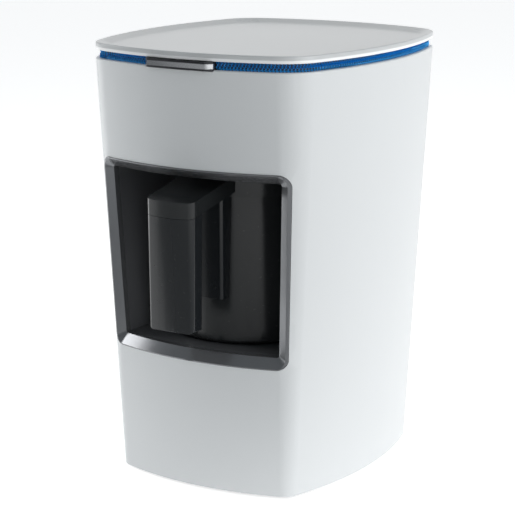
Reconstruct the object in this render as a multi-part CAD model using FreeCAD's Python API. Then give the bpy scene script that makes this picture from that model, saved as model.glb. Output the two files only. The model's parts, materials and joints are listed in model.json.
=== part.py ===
import FreeCAD, Part

import math
import os

V = FreeCAD.Vector
os.makedirs("parts", exist_ok=True)

# An electric coffee maker for Turkish coffee, in millimetres.
# +Z is up, the front faces -Y, and the origin is on the table under the middle of the casing.

# Casing: a tapered sleeve with a rounded square plan, each side a shallow arc.
# The plan is given at the top edge. Lower down it lies further in, on the same arc centres.
foot_height = 2.5
case_height = 266.3
top_half_width = 90.4
top_half_depth = 103.7
top_front_radius = 193.0
top_side_radius = 257.0
top_corner_radius = 27.0
case_taper = 14.6
case_wall = 2.8
case_edge_round = 1.0

# Clearances
seat_gap = 0.3
fit_gap = 0.2
running_gap = 0.06

# Front opening and its bezel, measured at the casing surface
opening_bottom = 85.1
opening_top = 207.6
opening_bottom_half_width = 64.2
opening_top_half_width = 69.2
opening_corner_radius = 7.5
bezel_rim_corner = 6.5
bezel_side_width = 7.3
bezel_top_width = 6.0
bezel_sill_width = 7.2
bezel_rim_width = 0.9
bezel_slope_depth = 4.6
bezel_thickness = 8.5
bezel_proud = 0.5
bezel_inner_radius = 1.6

# Chamber liner behind the bezel
liner_wall = 2.0
liner_cover = 1.2
liner_back = 34.0
liner_ceiling_rise = 4.0
liner_corner_radius = 40.0
floor_drop = 0.3

# Top deck, vent band, lid
band_height = 5.2
band_inset = 3.1
band_thickness = 0.8
band_lap = 2.3
carrier_thickness = 2.0
deck_thickness = 3.0
lid_thickness = 4.5
lid_recess_depth = 2.0
lid_rim_width = 3.0
lid_slope_width = 6.0
lid_edge_round = 0.8
lid_pocket_depth = 0.9
lid_pocket_inset = 7.0
lid_panel_thickness = 1.6
vent_slot_width = 9.0
vent_slot_pitch = 14.0
vent_slot_count = 9
vent_slot_height = 3.6

# Lid hinge at the rear
hinge_inset = 5.0
hinge_drop = 4.2
hinge_pin_radius = 1.25
hinge_boss_radius = 2.3
hinge_half_width = 27.3
ear_thickness = 5.5
bracket_depth = 8.0
bracket_wall = 2.5
hinge_room = 0.5

# Start button in the front of the band
button_room = 1.0
switch_edge_round = 0.5
button_half_width = 20.5
button_back_half_width = 24.0
button_proud = 2.3
button_height = 5.4
button_depth = 6.0
button_edge_round = 0.6
button_stem_half_width = 9.0
button_stem_height = 2.4
button_stem_length = 6.0
button_travel = 1.5
button_notch = 1.0
switch_half_width = 10.0
switch_depth = 8.0
switch_height = 5.6

# Coffee pot: a round double-walled cup, front of the handle towards -Y
pot_y = -20.0
pot_base_radius = 52.5
pot_top_radius = 48.0
pot_wall = 2.2
pot_floor = 2.5
pot_base_round = 2.0
pot_plate_radius = 38.0
pot_plate_thickness = 3.0
vessel_radius = 41.0
vessel_wall = 0.8
vessel_rim_radius = 45.0
collar_radius = 50.0
collar_bottom = 186.0
collar_top = 198.6
collar_inner = 41.4
collar_lip = 1.2
grip_front = -116.4
grip_depth = 16.0
grip_top_half_width = 17.2
grip_taper = 1.0
grip_bulge = 2.4
grip_corner_radius = 4.5
grip_foot_side_round = 5.0
grip_foot_front_round = 3.0
grip_bottom = 108.5
cap_front_top = 189.5
cap_thickness = 9.9
bridge_slope = 0.2
plate_front = -77.0
plate_half_width = 14.0
plate_bottom = 122.5
plate_edge_round = 3.0
handle_screw_radius = 1.5
handle_screw_half_x = 7.0
handle_screw_length = 24.0
handle_screw_cover = 2.5

# Heater in the chamber floor
heater_radius = 36.0
heater_flange = 4.0
heater_thickness = 2.0
heater_proud = 0.6
element_inner = 20.0
element_outer = 30.0
element_height = 5.0
terminal_size = 4.0
terminal_height = 6.0
thermostat_radius = 8.0
thermostat_height = 6.0
shield_radius = 46.0
shield_depth = 14.0
shield_wall = 1.0
shield_hole = 28.0
element_room = 2.0
element_edge_bevel = 1.2
heater_edge_bevel = 0.4
terminal_half = 0.6
thermostat_brim = 2.0
brim_height = 1.2
shield_brim = 5.0

# Base plate, feet, screws
foot_edge_bevel = 0.8
base_thickness = 3.0
base_recess = 0.5
foot_radius = 8.0
foot_stub_radius = 4.0
foot_half_x = 48.0
foot_half_y = 60.0
boss_wall_room = 24.4
boss_rib_half = 1.5
boss_bite = 0.5
boss_half_y = 30.0
boss_radius = 4.5
boss_height = 24.0
screw_radius = 1.5
screw_head_radius = 3.0
screw_head_height = 1.8
screw_grip = 12.0
screw_slot_width = 0.8
screw_slot_depth = 0.8
air_slot_pitch = 8.0
air_slot_width = 3.0
air_slot_front = -34.0
air_slot_back = -6.0
air_slots_each_side = 3

# Water tank behind the chamber and its seat
tank_side_room = 36.4
tank_front_gap = 5.0
tank_back_room = 23.7
tank_wall = 2.0
tank_corner = 9.0
tank_lift = 1.5
tank_mouth_gap = 1.0
seat_level = 58.0
seat_thickness = 3.0
seat_side_inset = 2.0
leg_radius = 3.5
leg_side_inset = 6.0
leg_front_inset = 5.0
leg_back_inset = 8.0
socket_side_inset = 16.0
socket_back_inset = 20.0
socket_height = 8.0
socket_radius = 11.0
socket_bore = 8.6
neck_radius = 8.2
neck_bore = 5.0
neck_length = 7.0
valve_radius = 7.0
valve_height = 3.0
seal_width = 3.0
valve_edge_bevel = 0.8
valve_stem_gap = 1.5
socket_floor = 1.5

# Pump and hoses
pump_z = 28.0
pump_radius = 16.0
pump_end_room = 19.0
pump_end_radius = 11.0
pump_end_length = 6.0
mount_half_width = 19.0
mount_top = 38.0
port_radius = 3.0
port_length = 9.0
hose_wall = 1.3
hose_bore = 1.8
hose_bend = 9.0
feed_bend = 6.0
riser_side_room = 28.4
hose_rise = 30.4

# Nozzle, sensor, control board above the chamber. Heights are for a loft of this height and scale with it.
loft_full = 55.9
nozzle_y = -12.0
nozzle_radius = 5.0
nozzle_flange = 9.0
nozzle_bore = 1.8
nozzle_drop = 2.4
nozzle_full_height = 14.0
sensor_x = 20.0
sensor_y = -14.0
sensor_radius = 6.0
sensor_height = 8.0
board_half_length = 43.0
board_half_width = 20.0
board_thickness = 1.6
board_y = -54.0
standoff_full_height = 12.0
standoff_radius = 3.5
board_hole_inset = 4.0
board_screw_length = 10.0
solder_gap = 0.05
relay_x = -34.0
relay_length = 19.0
relay_half_width = 8.0
relay_height = 15.0
transformer_x = 6.0
transformer_length = 24.0
transformer_half_width = 10.0
transformer_height = 17.0
chip_x = -10.0
chip_length = 10.0
chip_half_width = 5.0
chip_height = 2.4
connector_half_length = 20.0
connector_inner = 13.0
connector_outer = 19.0
connector_height = 8.0
capacitor_radius = 4.0
capacitor_height = 12.0
capacitor_inset = 13.0
capacitor_x = 1.0
capacitor_half_gap = 5.0
nozzle_shoulder = 3.0

# Cord gland in the rear wall
gland_x = 48.0
gland_z = 22.0
gland_radius = 5.6
gland_flange = 8.5
gland_bore = 3.2
gland_proud = 1.8

case_bottom = foot_height
case_top = foot_height + case_height
deck_top = case_top - band_lap
deck_bottom = deck_top - deck_thickness
lid_bottom = case_top + band_height
lid_top = lid_bottom + lid_thickness
sill_z = opening_bottom + bezel_sill_width
head_z = opening_top - bezel_top_width
floor_z = sill_z - floor_drop
floor_under = floor_z - liner_wall
ceiling_z = head_z + liner_ceiling_rise
ceiling_top = ceiling_z + liner_wall
pot_bottom = floor_z + heater_proud + seat_gap
base_bottom = case_bottom + base_recess
base_top = base_bottom + base_thickness
carrier_outer = band_inset + band_thickness + fit_gap
carrier_inner = carrier_outer + carrier_thickness
hinge_y = top_half_depth - hinge_inset
hinge_z = lid_top - hinge_drop
boss_half_x = top_half_width - boss_wall_room
tank_half_width = top_half_width - tank_side_room
tank_front = liner_back + tank_front_gap
tank_back = top_half_depth - tank_back_room
seat_half_width = tank_half_width - seat_side_inset
leg_half_x = tank_half_width - leg_side_inset
leg_front_y = tank_front + leg_front_inset
leg_back_y = tank_back - leg_back_inset
socket_x = tank_half_width - socket_side_inset
socket_y = tank_back - socket_back_inset
riser_x = riser_side_room - top_half_width
pump_x = (socket_x + riser_x) / 2
pump_half_length = (socket_x - riser_x) / 2 - pump_end_room
seat_under = seat_level - seat_thickness
tank_bottom = seat_level + seat_gap
tank_top = deck_top + tank_lift
loft_scale = (deck_bottom - ceiling_top) / loft_full
nozzle_height = nozzle_full_height * loft_scale
standoff_height = standoff_full_height * loft_scale
hose_level = ceiling_top + hose_rise * loft_scale
board_z = ceiling_top + standoff_height
middle_shift = -(grip_front + top_half_depth) / 2

# How far a cutting shape runs past the face it cuts, and a length past the whole of the part
overrun = 1.0
far = 300.0


def box(x0, x1, y0, y1, z0, z1):
    return Part.makeBox(x1 - x0, y1 - y0, z1 - z0, V(x0, y0, z0))


def cylinder(radius, height, x, y, z, axis=V(0, 0, 1)):
    return Part.makeCylinder(radius, height, V(x, y, z), axis)


def ring(outer, inner, height, x, y, z):
    return cylinder(outer, height, x, y, z).cut(cylinder(inner, height, x, y, z))


def arc_point(arc, angle, inset, z):
    x, y, radius = arc[:3]
    return V(x + (radius - inset) * math.cos(angle), y + (radius - inset) * math.sin(angle), z)


def outline_wire(arcs, inset, z):
    """A closed outline of arcs, given as centre, radius, start and end angle, joined by straight runs."""
    edges = []
    for i, arc in enumerate(arcs):
        start, end = arc[3], arc[4]
        ends = [arc_point(arc, angle, inset, z) for angle in (start, (start + end) / 2, end)]
        edges.append(Part.Arc(*ends).toShape())
        follow = arcs[(i + 1) % len(arcs)]
        entry = arc_point(follow, follow[3], inset, z)
        if ends[2].distanceToPoint(entry) > 0.001:
            edges.append(Part.LineSegment(ends[2], entry).toShape())
    return Part.Wire(edges)


def drafted(arcs, steps):
    """A solid through the outline at each (inset, z) step, with a cone or cylinder along every arc."""
    faces = []
    for lower, upper in zip(steps, steps[1:]):
        for i, arc in enumerate(arcs):
            start, end = arc[3], arc[4]
            line = Part.LineSegment(arc_point(arc, start, *lower), arc_point(arc, start, *upper)).toShape()
            faces.append(line.revolve(V(arc[0], arc[1], 0), V(0, 0, 1), math.degrees(end - start)))
            follow = arcs[(i + 1) % len(arcs)]
            corners = [
                arc_point(arc, end, *lower),
                arc_point(follow, follow[3], *lower),
                arc_point(follow, follow[3], *upper),
                arc_point(arc, end, *upper),
            ]
            if corners[0].distanceToPoint(corners[1]) > 0.001:
                faces.append(Part.Face(Part.makePolygon(corners + [corners[0]])))
    faces.append(Part.Face(outline_wire(arcs, *steps[0])))
    faces.append(Part.Face(outline_wire(arcs, *steps[-1])))
    shell = Part.makeShell(faces)
    shell.sewShape()
    solid = Part.makeSolid(shell)
    if solid.Volume < 0:
        solid.reverse()
    return solid


def square_arcs(half_width, half_depth, front_radius, side_radius, corner_radius):
    """Rounded square of eight touching arcs, anticlockwise from the front one."""
    front_y = front_radius - half_depth
    side_x = half_width - side_radius
    reach_front = front_radius - corner_radius
    reach_side = side_radius - corner_radius
    span = math.hypot(side_x, front_y)
    along = (reach_front**2 - reach_side**2 + span**2) / (2 * span)
    offset = math.sqrt(reach_front**2 - along**2)
    corner_x = (along * side_x + offset * front_y) / span
    corner_y = front_y - (along * front_y - offset * side_x) / span
    if corner_y > 0 or corner_x < 0:
        corner_x = (along * side_x - offset * front_y) / span
        corner_y = front_y - (along * front_y + offset * side_x) / span
    to_front = math.atan2(corner_y - front_y, corner_x)
    to_side = math.atan2(corner_y, corner_x - side_x)
    half_turn = math.pi
    right_angle = math.pi / 2
    front = to_front + right_angle
    return [
        (0.0, front_y, front_radius, -right_angle - front, to_front),
        (corner_x, corner_y, corner_radius, to_front, to_side),
        (side_x, 0.0, side_radius, to_side, -to_side),
        (corner_x, -corner_y, corner_radius, -to_side, -to_front),
        (0.0, -front_y, front_radius, -to_front, half_turn + to_front),
        (-corner_x, -corner_y, corner_radius, half_turn + to_front, half_turn + to_side),
        (-side_x, 0.0, side_radius, half_turn + to_side, half_turn - to_side),
        (-corner_x, corner_y, corner_radius, half_turn - to_side, half_turn - to_front),
    ]


case_arcs = square_arcs(top_half_width, top_half_depth, top_front_radius, top_side_radius, top_corner_radius)


def taper_at(z):
    """How far the casing's surface lies inside its top edge at height z."""
    return case_taper * (case_top - z) / case_height


def envelope(inset, z0=None, z1=None):
    """The casing's outer form moved inwards by inset, whole or from z0 to z1."""
    low = case_bottom if z0 is None else z0
    high = case_top if z1 is None else z1
    return drafted(case_arcs, [(taper_at(low) + inset, low), (taper_at(high) + inset, high)])


def top_slab(inset, z0, z1):
    """A straight-sided slab with the plan of the casing's top edge."""
    return drafted(case_arcs, [(inset, z0), (inset, z1)])


def edge_steps(z, radius, direction):
    """Insets and levels that round an edge, from the flat at z inwards along direction."""
    steps = []
    for angle in (90, 45, 0):
        turn = math.radians(angle)
        steps.append((radius * (1 - math.cos(turn)), z - direction * radius * (1 - math.sin(turn))))
    return steps


def front_surface_y(x, z):
    """Y of the casing's front surface at x, inside the front arc."""
    radius = top_front_radius - taper_at(z)
    return top_front_radius - top_half_depth - math.sqrt(radius**2 - x**2)


def opening_half_width(z):
    share = (z - opening_bottom) / (opening_top - opening_bottom)
    return opening_bottom_half_width + (opening_top_half_width - opening_bottom_half_width) * share


def window_prism(margin, radius, y0, y1, low=None, high=None):
    """The front opening's outline, moved inwards by margin, as a prism along Y."""
    z0 = opening_bottom + margin if low is None else low
    z1 = opening_top - margin if high is None else high
    x0 = opening_half_width(z0) - margin
    x1 = opening_half_width(z1) - margin
    points = [V(-x0, y0, z0), V(x0, y0, z0), V(x1, y0, z1), V(-x1, y0, z1)]
    face = Part.Face(Part.makePolygon(points + [points[0]]))
    prism = face.extrude(V(0, y1 - y0, 0))
    if radius > 0:
        edges = [e for e in prism.Edges if abs(e.Vertexes[0].Point.y - e.Vertexes[1].Point.y) > 1.0]
        prism = prism.makeFillet(radius, edges)
    return prism


def polygon_prism(points, direction):
    return Part.Face(Part.makePolygon(points + [points[0]])).extrude(direction)


def turned(profile, x, y):
    """A ring-shaped solid: (radius, z) points turned about the vertical through x, y."""
    points = [V(x + radius, y, z) for radius, z in profile]
    face = Part.Face(Part.makePolygon(points + [points[0]]))
    return face.revolve(V(x, y, 0), V(0, 0, 1), 360)


def mirrored(shape, plane_normal):
    return shape.mirror(V(0, 0, 0), plane_normal)


def at_four(shape):
    """The shape, and its mirror images left and rear, as four solids."""
    pair = [shape, mirrored(shape, V(1, 0, 0))]
    return pair + [mirrored(s, V(0, 1, 0)) for s in pair]


def rounded(solid, radius, wanted):
    """Fillets the edges for which wanted(edge) is true."""
    return solid.makeFillet(radius, [e for e in solid.Edges if wanted(e)])


def upright(edge):
    if len(edge.Vertexes) < 2:
        return False
    a, b = edge.Vertexes[0].Point, edge.Vertexes[1].Point
    return abs(a.z - b.z) > 1.0 and math.hypot(a.x - b.x, a.y - b.y) < 0.3 * abs(a.z - b.z)


def bevelled(solid, width, wanted):
    """Chamfers the edges for which wanted(edge) is true."""
    return solid.makeChamfer(width, [e for e in solid.Edges if wanted(e)])


def level_at(z):
    def test(edge):
        return all(abs(v.Point.z - z) < 0.01 for v in edge.Vertexes)

    return test


def fused(shapes):
    result = shapes[0].fuse(shapes[1:])
    return result.removeSplitter()


def hose(points, bend, outer, inner):
    """A hose along straight runs. Each square turn is made in two mitres, bend away from the corner."""
    route = [V(*points[0])]
    for before, corner, after in zip(points, points[1:], points[2:]):
        before, corner, after = V(*before), V(*corner), V(*after)
        route.append(corner + (before - corner).normalize() * bend)
        route.append(corner + (after - corner).normalize() * bend)
    route.append(V(*points[-1]))
    path = Part.makePolygon(route)
    tubes = []
    for radius in (outer, inner):
        section = Part.Wire(Part.makeCircle(radius, route[0], route[1] - route[0]))
        tubes.append(path.makePipeShell([section], True, False, 1))
    return tubes[0].cut(tubes[1])


def export(name, shape):
    """Writes a node's STEP file, moved so that the origin is under the middle of the whole."""
    solids = shape if isinstance(shape, list) else shape.Solids
    body = solids[0] if len(solids) == 1 else Part.makeCompound(solids)
    body.translate(V(0, middle_shift, 0))
    body.exportStep(f"parts/{name}.step")
    print(name, len(solids), round(sum(s.Volume for s in solids)), all(s.isValid() for s in solids))


# Outer casing

def casing_boss():
    """Screw boss inside the side wall, tied to it by a rib."""
    z0 = base_top + fit_gap
    post = cylinder(boss_radius, boss_height, boss_half_x, boss_half_y, z0)
    y = boss_half_y
    rib = box(boss_half_x, far / 3, y - boss_rib_half, y + boss_rib_half, z0, z0 + boss_height)
    hole = cylinder(screw_radius + running_gap, screw_grip, boss_half_x, boss_half_y, z0)
    return post.fuse(rib).common(envelope(case_wall - boss_bite)).cut(hole)


def outer_casing():
    rounding = [(inset + taper_at(z), z) for inset, z in reversed(edge_steps(case_top, case_edge_round, 1))]
    shell = drafted(case_arcs, [(case_taper, case_bottom)] + rounding).cut(envelope(case_wall))
    window = window_prism(0, opening_corner_radius, -far / 2, pot_y)
    reach = button_back_half_width + fit_gap * 2
    notch = box(-reach, reach, -far / 2, pot_y, case_top - button_notch, case_top + band_height)
    cord_hole = cylinder(gland_radius + fit_gap, far, gland_x, 0, gland_z, V(0, 1, 0))
    shell = shell.cut([window, notch, cord_hole])
    return shell.fuse(at_four(casing_boss()))


# Front bezel

def surface_wire(margin_side, margin_low, margin_high, radius, setback):
    """Edges of the opening's outline laid on the curved front, with rounded corners."""
    z0 = opening_bottom + margin_low
    z1 = opening_top - margin_high
    x0 = opening_half_width(z0) - margin_side
    x1 = opening_half_width(z1) - margin_side
    corners = [(-x0, z0), (x0, z0), (x1, z1), (-x1, z1)]

    def lifted(x, z):
        return V(x, front_surface_y(x, z) + setback, z)

    starts, middles, ends = [], [], []
    for i, (x, z) in enumerate(corners):
        before = corners[i - 1]
        after = corners[(i + 1) % 4]
        back = V(before[0] - x, 0, before[1] - z).normalize()
        on = V(after[0] - x, 0, after[1] - z).normalize()
        half = back.getAngle(on) / 2
        trim = radius / math.tan(half)
        inwards = (back + on).normalize()
        reach = radius / math.sin(half) - radius
        starts.append(lifted(x + back.x * trim, z + back.z * trim))
        middles.append(lifted(x + inwards.x * reach, z + inwards.z * reach))
        ends.append(lifted(x + on.x * trim, z + on.z * trim))
    edges = []
    for i in range(4):
        follow = (i + 1) % 4
        edges.append(Part.Arc(starts[i], middles[i], ends[i]).toShape())
        if i % 2 == 0:
            z = ends[i].z
            edges.append(Part.Arc(ends[i], lifted(0, z), starts[follow]).toShape())
        else:
            edges.append(Part.LineSegment(ends[i], starts[follow]).toShape())
    return edges


def flattened(edges, y):
    """The same outline laid on an upright plane."""
    flat = []
    for edge in edges:
        first, last = edge.valueAt(edge.FirstParameter), edge.valueAt(edge.LastParameter)
        middle = edge.valueAt((edge.FirstParameter + edge.LastParameter) / 2)
        first, middle, last = [V(p.x, y, p.z) for p in (first, middle, last)]
        if abs((middle - first).cross(last - first).Length) < 0.01:
            flat.append(Part.LineSegment(first, last).toShape())
        else:
            flat.append(Part.Arc(first, middle, last).toShape())
    return flat


def bezel_mouth():
    """What the bezel leaves free: the sloping mouth and the straight way through."""
    rim = bezel_rim_width
    outer = surface_wire(rim, rim, rim, bezel_rim_corner, -bezel_proud)
    inner = surface_wire(
        bezel_side_width, bezel_sill_width, bezel_top_width, bezel_inner_radius, bezel_slope_depth
    )
    in_front = flattened(outer, -far / 2)
    behind = flattened(inner, pot_y)
    faces = []
    for pair in ((in_front, outer), (outer, inner), (inner, behind)):
        faces += [Part.makeRuledSurface(a, b) for a, b in zip(*pair)]
    faces.append(Part.Face(Part.Wire(in_front)))
    faces.append(Part.Face(Part.Wire(behind)))
    solid = Part.makeSolid(Part.Shell(faces))
    if solid.Volume < 0:
        solid.reverse()
    return solid


def front_bezel():
    block = window_prism(fit_gap, opening_corner_radius - fit_gap, -far / 2, pot_y)
    block = block.common(envelope(-bezel_proud)).cut(envelope(bezel_thickness))
    return block.cut(bezel_mouth())


# Chamber liner

def liner_block(grow):
    margin = bezel_side_width - liner_cover - grow
    back = liner_back + grow
    block = window_prism(margin, 0, -far / 2, back, floor_z - grow, ceiling_z + grow)

    def rear_corner(edge):
        return upright(edge) and all(abs(v.Point.y - back) < 0.01 for v in edge.Vertexes)

    return rounded(block, liner_corner_radius + grow, rear_corner)


def board_holes():
    x = board_half_length - board_hole_inset
    y = board_half_width - board_hole_inset
    return [(sx * x, board_y + sy * y) for sx in (-1, 1) for sy in (-1, 1)]


def chamber_liner():
    shell = liner_block(liner_wall).common(envelope(bezel_thickness + seat_gap)).cut(liner_block(0))
    posts = [cylinder(standoff_radius, standoff_height, x, y, ceiling_top) for x, y in board_holes()]
    cuts = [
        cylinder(heater_radius + seat_gap, liner_wall * 3, 0, pot_y, floor_under - liner_wall),
        cylinder(nozzle_radius + fit_gap, liner_wall * 3, 0, nozzle_y, ceiling_z - liner_wall),
        cylinder(sensor_radius + fit_gap, liner_wall * 3, sensor_x, sensor_y, ceiling_z - liner_wall),
    ]
    for x, y in board_holes():
        cuts.append(cylinder(screw_radius + running_gap, standoff_height, x, y, ceiling_top + liner_wall))
    return shell.fuse(posts).cut(cuts)


# Heater under the chamber floor

def heater_plate():
    low = floor_under - fit_gap - heater_thickness
    disc = cylinder(heater_radius, floor_z + heater_proud - low, 0, pot_y, low)
    flange = cylinder(heater_radius + heater_flange, heater_thickness, 0, pot_y, low)
    well = cylinder(element_outer + element_room, heater_thickness, 0, pot_y, low)
    disc = disc.fuse(flange).cut(well)
    return bevelled(disc, heater_edge_bevel, level_at(floor_z + heater_proud))


def element_top():
    return floor_under - fit_gap - seat_gap / 2


def heater_element():
    z = element_top() - element_height
    coil = ring(element_outer, element_inner, element_height, 0, pot_y, z)
    coil = bevelled(coil, element_edge_bevel, level_at(z))
    middle = (element_inner + element_outer) / 2
    half = terminal_size / 2
    blades = []
    for x in (-middle, middle):
        thick = terminal_half
        low = z - terminal_height
        blades.append(box(x - thick, x + thick, pot_y - half, pot_y + half, low, z + overrun))
    return coil.fuse(blades)


def thermostat():
    z = element_top() - thermostat_height
    body = cylinder(thermostat_radius, thermostat_height, 0, pot_y, z)
    brim = cylinder(thermostat_radius + thermostat_brim, brim_height, 0, pot_y, element_top() - brim_height)
    return body.fuse(brim)


def heat_shield():
    top = floor_under - fit_gap
    cup = ring(shield_radius, shield_radius - shield_wall, shield_depth, 0, pot_y, top - shield_depth)
    floor = ring(shield_radius, shield_hole, shield_wall, 0, pot_y, top - shield_depth)
    inner = shield_radius - shield_wall
    brim = ring(shield_radius + shield_brim, inner, shield_wall, 0, pot_y, top - shield_wall)
    return fused([cup, floor, brim])


# Base

def foot_positions():
    return [(sx * foot_half_x, sy * foot_half_y) for sx in (-1, 1) for sy in (-1, 1)]


def boss_positions():
    return [(sx * boss_half_x, sy * boss_half_y) for sx in (-1, 1) for sy in (-1, 1)]


def base_cover():
    plate = envelope(case_wall + seat_gap, base_bottom, base_top)
    cuts = []
    for x, y in foot_positions():
        cuts.append(cylinder(foot_stub_radius + fit_gap / 2, base_thickness, x, y, base_bottom))
    for x, y in boss_positions():
        cuts.append(cylinder(screw_radius + fit_gap, base_thickness, x, y, base_bottom))
        cuts.append(cylinder(screw_head_radius + fit_gap, screw_head_height + fit_gap, x, y, base_bottom))
    for i in range(-air_slots_each_side, air_slots_each_side + 1):
        x = i * air_slot_pitch
        half = air_slot_width / 2
        cuts.append(box(x - half, x + half, air_slot_front, air_slot_back, base_bottom, base_top))
    return plate.cut(cuts)


def rubber_feet():
    feet = []
    for x, y in foot_positions():
        pad = cylinder(foot_radius, base_bottom, x, y, 0)
        pad = bevelled(pad, foot_edge_bevel, level_at(0))
        feet.append(pad.fuse(cylinder(foot_stub_radius, base_thickness - fit_gap, x, y, base_bottom)))
    return feet


def screw(x, y, z, length, radius=screw_radius):
    """Pan head below z, shank above it, slot in the head."""
    head = cylinder(screw_head_radius, screw_head_height, x, y, z - screw_head_height)
    shank = cylinder(radius, length, x, y, z)
    low = z - screw_head_height
    half = screw_slot_width / 2
    slot = box(x - screw_head_radius, x + screw_head_radius, y - half, y + half, low, low + screw_slot_depth)
    return head.fuse(shank).cut(slot)


def base_screws():
    z = base_bottom + screw_head_height + fit_gap / 2
    return [screw(x, y, z, screw_grip) for x, y in boss_positions()]


# Top deck and vent band

def tank_outline(grow, z0, z1):
    block = box(
        -tank_half_width - grow,
        tank_half_width + grow,
        tank_front - grow,
        tank_back + grow,
        z0,
        z1,
    )
    return rounded(block, tank_corner + grow, upright)


def button_gap(half_width):
    return box(-half_width, half_width, -far / 2, -top_half_depth / 2, deck_top, lid_bottom + 1)


def hinge_gap(half_width):
    return box(-half_width, half_width, top_half_depth / 2, far / 2, deck_top, lid_bottom + 1)


def top_deck():
    plate = envelope(case_wall + seat_gap, deck_bottom, deck_top)
    ring_top = lid_bottom - seat_gap
    wall = top_slab(carrier_outer, deck_top, ring_top).cut(top_slab(carrier_inner, deck_top, ring_top))
    cuts = [button_gap(button_back_half_width + button_room), hinge_gap(hinge_half_width + hinge_room)]
    cuts.append(tank_outline(tank_mouth_gap, deck_bottom - overrun, deck_top + overrun))
    z0 = deck_top + 1.8
    for i in range(vent_slot_count):
        middle = (i - (vent_slot_count - 1) / 2) * vent_slot_pitch
        a = middle - vent_slot_width / 2
        b = middle + vent_slot_width / 2
        cuts.append(box(a, b, -far / 2, far / 2, z0, z0 + vent_slot_height))
        cuts.append(box(-far / 2, far / 2, a, b, z0, z0 + vent_slot_height))
    return plate.fuse(wall).cut(cuts)


def vent_band():
    top = lid_bottom - seat_gap
    band = top_slab(band_inset, deck_top, top).cut(top_slab(band_inset + band_thickness, deck_top, top))
    return band.cut([button_gap(button_back_half_width + 0.5), hinge_gap(hinge_half_width + 2)])


# Lid and hinge

def across(radius, half_length, y, z):
    return cylinder(radius, 2 * half_length, -half_length, y, z, V(1, 0, 0))


def ear_slot():
    """Room in the lid for one ear and its way to the rear edge."""
    x0 = hinge_half_width - ear_thickness - seat_gap
    x1 = hinge_half_width + seat_gap
    reach = hinge_boss_radius + seat_gap
    return box(x0, x1, hinge_y - reach, far / 2, lid_bottom - 5, hinge_z + reach)


def lid_shell():
    under = edge_steps(lid_bottom, lid_edge_round / 2, -1)
    over = list(reversed(edge_steps(lid_top, lid_edge_round, 1)))
    slab = drafted(case_arcs, under + over)
    slope_end = lid_rim_width + lid_slope_width
    recess = drafted(case_arcs, [(slope_end, lid_top - lid_recess_depth), (lid_rim_width, lid_top)])
    pocket = top_slab(lid_pocket_inset, lid_bottom, lid_bottom + lid_pocket_depth)
    pocket = pocket.cut(box(-hinge_half_width - 4, hinge_half_width + 4, 84, far / 2, lid_bottom, lid_top))
    lid = slab.cut([recess, pocket])
    barrel = across(hinge_boss_radius, hinge_half_width - ear_thickness - seat_gap, hinge_y, hinge_z)
    lid = lid.fuse(barrel)
    slot = ear_slot()
    pin_way = across(hinge_pin_radius + running_gap, hinge_half_width + hinge_room, hinge_y, hinge_z)
    return lid.cut([slot, mirrored(slot, V(1, 0, 0)), pin_way])


def lid_inner_panel():
    top = lid_bottom + lid_pocket_depth - fit_gap
    panel = top_slab(lid_pocket_inset + seat_gap, top - lid_panel_thickness, top)
    return panel.cut(box(-hinge_half_width - 5, hinge_half_width + 5, 83, far / 2, lid_bottom - 5, lid_top))


def lid_seal():
    top = lid_bottom + lid_pocket_depth - fit_gap - lid_panel_thickness
    low = tank_top + seat_gap
    outer = tank_outline(-tank_wall / 2 + 1, low, top)
    return outer.cut(tank_outline(-seal_width, low, top))


def hinge_bracket():
    wall_back = hinge_y - hinge_boss_radius - seat_gap
    reach = hinge_half_width
    low_top = case_top + 0.2
    plate = box(-reach, reach, wall_back - bracket_depth, hinge_y, deck_top, low_top)
    plate = plate.common(top_slab(band_inset, deck_top, low_top))
    wall = box(-reach, reach, wall_back - bracket_wall, wall_back, deck_top, lid_bottom - 0.5)
    parts = [plate, wall]
    for side in (-1, 1):
        x0 = side * reach if side < 0 else reach - ear_thickness
        knuckle = cylinder(hinge_boss_radius, ear_thickness, x0, hinge_y, hinge_z, V(1, 0, 0))
        web = box(
            x0,
            x0 + ear_thickness,
            hinge_y - hinge_boss_radius,
            hinge_y + hinge_boss_radius * 0.7,
            low_top + 0.3,
            hinge_z,
        )
        foot = box(x0, x0 + ear_thickness, wall_back - 0.5, hinge_y - 1, deck_top, low_top + 1)
        parts += [knuckle, web, foot]
    bracket = fused(parts)
    return bracket.cut(across(hinge_pin_radius, reach + 1, hinge_y, hinge_z))


def hinge_pin():
    return across(hinge_pin_radius, hinge_half_width, hinge_y, hinge_z)


# Start button and its switch

def start_button():
    front = -top_half_depth - button_proud
    back = front + button_depth
    z0 = lid_bottom - seat_gap - button_height
    points = [
        V(-button_half_width, front, z0),
        V(button_half_width, front, z0),
        V(button_back_half_width, front + button_depth * 0.6, z0),
        V(button_back_half_width, back, z0),
        V(-button_back_half_width, back, z0),
        V(-button_back_half_width, front + button_depth * 0.6, z0),
    ]
    bar = polygon_prism(points, V(0, 0, button_height))

    def front_edge(edge):
        return all(abs(v.Point.y - front) < 0.01 for v in edge.Vertexes) and not upright(edge)

    bar = rounded(bar, button_edge_round, front_edge)
    middle = z0 + button_height / 2
    stem = box(
        -button_stem_half_width,
        button_stem_half_width,
        back - 0.5,
        back + button_stem_length,
        middle - button_stem_height / 2,
        middle + button_stem_height / 2,
    )
    return bar.fuse(stem)


def button_switch():
    y0 = -top_half_depth - button_proud + button_depth + button_stem_length + button_travel + seat_gap
    body = box(
        -switch_half_width,
        switch_half_width,
        y0,
        y0 + switch_depth,
        deck_top + fit_gap / 2,
        deck_top + switch_height,
    )
    return rounded(body, switch_edge_round, upright)


# Water tank, valve, seat

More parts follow.
